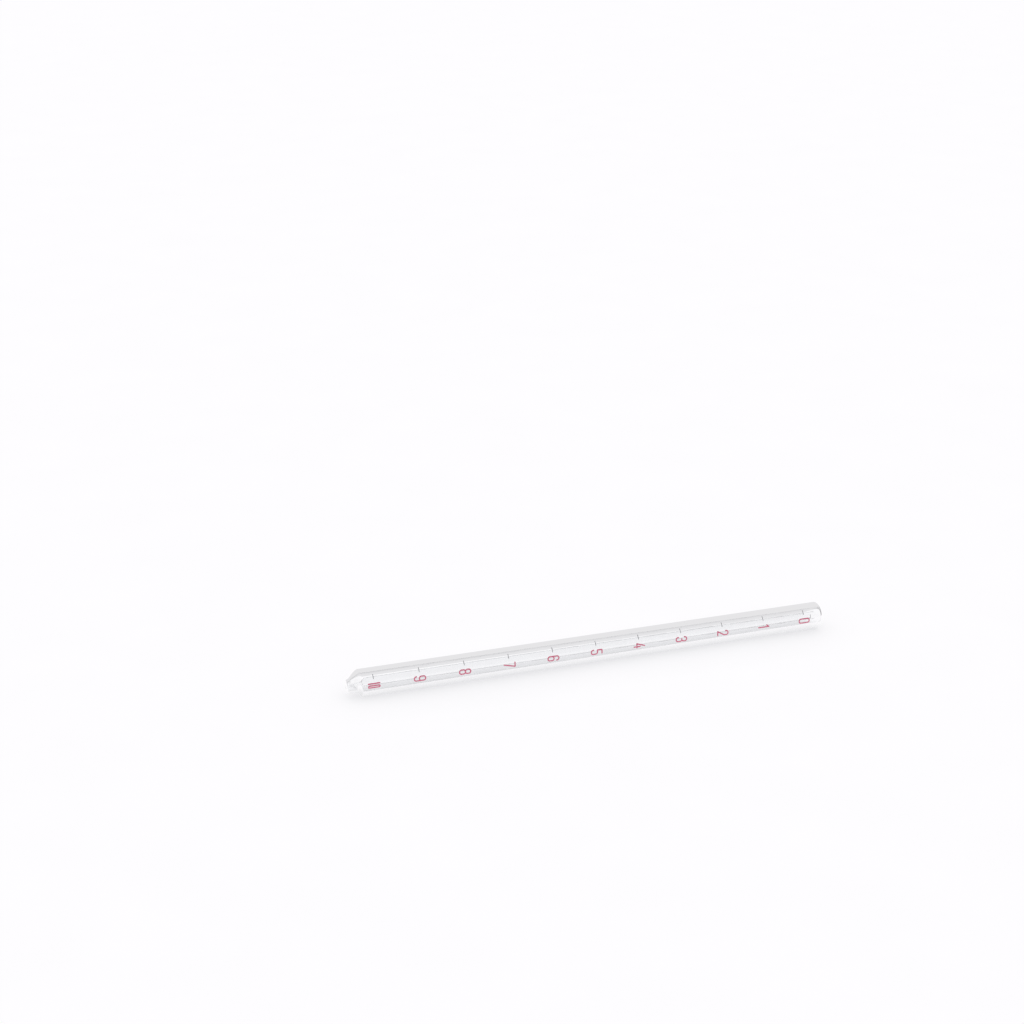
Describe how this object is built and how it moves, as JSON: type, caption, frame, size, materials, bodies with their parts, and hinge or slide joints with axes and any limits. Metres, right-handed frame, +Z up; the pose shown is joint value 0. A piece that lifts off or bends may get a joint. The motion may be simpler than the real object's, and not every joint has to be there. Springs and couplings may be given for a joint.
{
  "type": "graduated pipette",
  "caption": "Short clear glass pipette with an open mouth, a drawn nose with a fine orifice, and a printed red scale for measuring small volumes of liquid.",
  "frame": {"origin": "on the surface that the pipette lies on, under the middle of its length", "axes": "+X along the tube from the nose to the mouth, +Z up with the pipette lying down, -Y the side that the numerals face"},
  "size_m": [0.129, 0.007, 0.007],
  "materials": {
    "clear_glass": "clear, fire-polished",
    "red_enamel": "fired enamel",
    "grey_enamel": "fired enamel"
  },
  "bodies": {
    "root": {"glass_tube": "clear_glass", "numeral_10": "red_enamel", "scale_line_10": "grey_enamel", "numeral_9": "red_enamel", "scale_line_9": "grey_enamel", "numeral_8": "red_enamel", "scale_line_8": "grey_enamel", "numeral_7": "red_enamel", "scale_line_7": "grey_enamel", "numeral_6": "red_enamel", "scale_line_6": "grey_enamel", "numeral_5": "red_enamel", "scale_line_5": "grey_enamel", "numeral_4": "red_enamel", "scale_line_4": "grey_enamel", "numeral_3": "red_enamel", "scale_line_3": "grey_enamel", "numeral_2": "red_enamel", "scale_line_2": "grey_enamel", "numeral_1": "red_enamel", "scale_line_1": "grey_enamel", "numeral_0": "red_enamel", "scale_line_0": "grey_enamel"}
  },
  "joints": []
}
